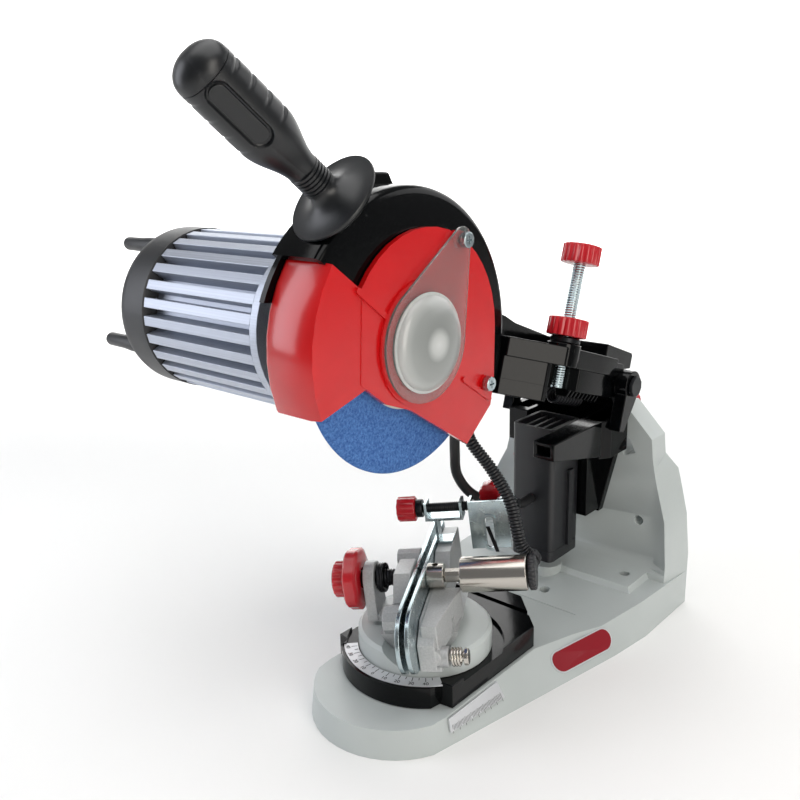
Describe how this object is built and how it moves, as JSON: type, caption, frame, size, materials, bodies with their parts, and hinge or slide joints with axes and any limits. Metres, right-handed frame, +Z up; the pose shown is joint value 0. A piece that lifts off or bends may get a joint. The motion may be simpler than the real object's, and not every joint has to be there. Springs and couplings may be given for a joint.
{
  "type": "saw chain bench grinder",
  "caption": "Bench grinder for saw chain: a motor-driven disc wheel on a swing arm over a turning, sliding and tilting chain vise.",
  "frame": {"origin": "on the bench plane, below the axis of the vise turntable", "axes": "+Z up, +Y from the round nose to the upright wall, +X to the side of the clamp cylinder"},
  "size_m": [0.301, 0.3342, 0.3579],
  "materials": {
    "pale_grey": "satin",
    "gloss_black": "gloss",
    "black": "satin",
    "red": "gloss",
    "wheel": "rough grit",
    "zinc": "zinc plated",
    "steel": "polished",
    "aluminium": "satin",
    "cast": "cast",
    "dial": "matt",
    "clear": "clear",
    "cord": "matt"
  },
  "bodies": {
    "base": {"base_casting": "pale_grey", "ruler_scale": "zinc", "tilt_pivot_pin": "zinc"},
    "carriage": {"carriage_plate": "gloss_black", "dial_ring": "dial"},
    "turntable": {"turntable_drum": "pale_grey", "turntable_pivot": "steel"},
    "vise": {"vise_body": "cast", "fixed_rail": "zinc", "clamp_collar": "steel", "piston_rod": "steel", "clamp_cylinder": "steel", "cylinder_fitting": "black", "guide_screw": "steel", "guide_spring": "steel", "clamp_spring": "black", "stop_bracket": "zinc"},
    "moving_jaw": {"moving_rail": "zinc", "moving_jaw": "cast"},
    "clamp_knob": {"clamp_knob": "red", "clamp_screw": "black"},
    "chain_stop": {"stop_plate": "zinc", "stop_nut": "zinc", "stop_pawl": "black"},
    "stop_screw": {"stop_shaft": "black", "stop_knob": "red"},
    "stop_back_knob": {"stop_back_knob": "red"},
    "head": {"tilt_bracket": "gloss_black", "tilt_stud": "zinc", "hinge_pin": "steel", "electrics_box": "black", "box_foot": "black", "conduit": "cord", "smooth_cable": "cord"},
    "rocker": {"rocker_switch": "red"},
    "tilt_lock_knob": {"tilt_lock_knob": "red"},
    "arm": {"swing_arm": "gloss_black", "return_spring": "zinc", "guard_housing": "gloss_black", "guard_cover": "red", "upper_cover_screw": "zinc", "lower_cover_screw": "zinc", "motor_mount": "cast", "motor_housing": "aluminium", "motor_end_cap": "black", "handle_bell": "black", "handle_grip": "black", "cord_gland": "black"},
    "hub_cover": {"hub_cover": "clear"},
    "wheel": {"grinding_wheel": "wheel", "inner_flange": "steel", "outer_flange": "steel", "spindle_nut": "steel", "wheel_spindle": "steel"},
    "depth_screw": {"depth_screw": "zinc"},
    "depth_knob": {"depth_knob": "red"},
    "depth_lock_knob": {"depth_lock_knob": "red"}
  },
  "joints": [
    {"name": "vise_slide", "type": "slide", "parent": "base", "child": "carriage", "axis": [0, 1, 0], "range_m": [-0.012, 0.022], "deforming": ["conduit"]},
    {"name": "vise_turn", "type": "hinge", "parent": "carriage", "child": "turntable", "pos_m": [0, 0, 0.03], "axis": [0, 0, 1], "range_deg": [-65, 5], "deforming": ["conduit"]},
    {"name": "vise_tilt", "type": "hinge", "parent": "turntable", "child": "vise", "pos_m": [0, 0, 0.058], "axis": [-0.5, 0.866, 0], "range_deg": [-3.5, 16.5], "deforming": ["conduit"]},
    {"name": "jaw_slide", "type": "slide", "parent": "vise", "child": "moving_jaw", "axis": [0.8605, 0.4968, 0.1132], "range_m": [-0.006, 0.0014], "deforming": ["clamp_spring"]},
    {"name": "clamp_knob_turn", "type": "hinge", "parent": "moving_jaw", "child": "clamp_knob", "pos_m": [-0.03577, -0.02065, 0.06718], "axis": [0.8605, 0.4968, 0.1132], "range_deg": [-1090, 400]},
    {"name": "stop_plate_slide", "type": "slide", "parent": "vise", "child": "chain_stop", "axis": [0.8605, 0.4968, 0.1132], "range_m": [-0.003, 0.004]},
    {"name": "stop_screw_turn", "type": "hinge", "parent": "vise", "child": "stop_screw", "pos_m": [-0.02481, 0.03417, 0.09665], "axis": [0.8605, 0.4968, 0.1132], "range_deg": [-1100, 1460]},
    {"name": "stop_back_knob_turn", "type": "hinge", "parent": "chain_stop", "child": "stop_back_knob", "pos_m": [0.00438, 0.06026, 0.10479], "axis": [-0.5, 0.866, 0], "range_deg": [-180, 180]},
    {"name": "head_tilt", "type": "hinge", "parent": "base", "child": "head", "pos_m": [0, 0.18, 0.09], "axis": [0, 1, 0], "range_deg": [0, 35], "deforming": ["conduit"]},
    {"name": "tilt_lock_turn", "type": "hinge", "parent": "head", "child": "tilt_lock_knob", "pos_m": [0.019, 0.195, 0.129], "axis": [0, 1, 0], "range_deg": [0, 180]},
    {"name": "rocker_switch_tip", "type": "hinge", "parent": "head", "child": "rocker", "pos_m": [-0.016, 0.1235, 0.1], "axis": [0, 1, 0], "range_deg": [0, 8]},
    {"name": "arm_swing", "type": "hinge", "parent": "head", "child": "arm", "pos_m": [0, 0.16, 0.1579], "axis": [1, 0, 0], "range_deg": [0, 18], "stiffness_Nm_per_rad": 8, "springref_deg": -85.94, "deforming": ["conduit", "smooth_cable", "return_spring"]},
    {"name": "wheel_spin", "type": "hinge", "parent": "arm", "child": "wheel", "pos_m": [0, -0.0115, 0.2148], "axis": [1, 0, 0], "continuous": true},
    {"name": "hub_cover_swing", "type": "hinge", "parent": "arm", "child": "hub_cover", "pos_m": [0.013, 0.0205, 0.2645], "axis": [1, 0, 0], "range_deg": [-40, 0]},
    {"name": "depth_screw_travel", "type": "slide", "parent": "arm", "child": "depth_screw", "axis": [0, 0.309, 0.9511], "range_m": [-0.008, 0.01]},
    {"name": "depth_knob_turn", "type": "hinge", "parent": "depth_screw", "child": "depth_knob", "pos_m": [0.0265, 0.10481, 0.19192], "axis": [0, 0.309, 0.9511], "range_deg": [-2310, 2890]},
    {"name": "depth_lock_turn", "type": "hinge", "parent": "arm", "child": "depth_lock_knob", "pos_m": [0.0265, 0.10481, 0.19192], "axis": [0, 0.309, 0.9511], "range_deg": [0, 180]}
  ],
  "couplings": [
    {"joint": "clamp_knob_turn", "follows": "jaw_slide", "rad_per_m": 3141.6},
    {"joint": "stop_screw_turn", "follows": "stop_plate_slide", "rad_per_m": 6283.2},
    {"joint": "depth_knob_turn", "follows": "depth_screw_travel", "rad_per_m": 5026.5}
  ]
}
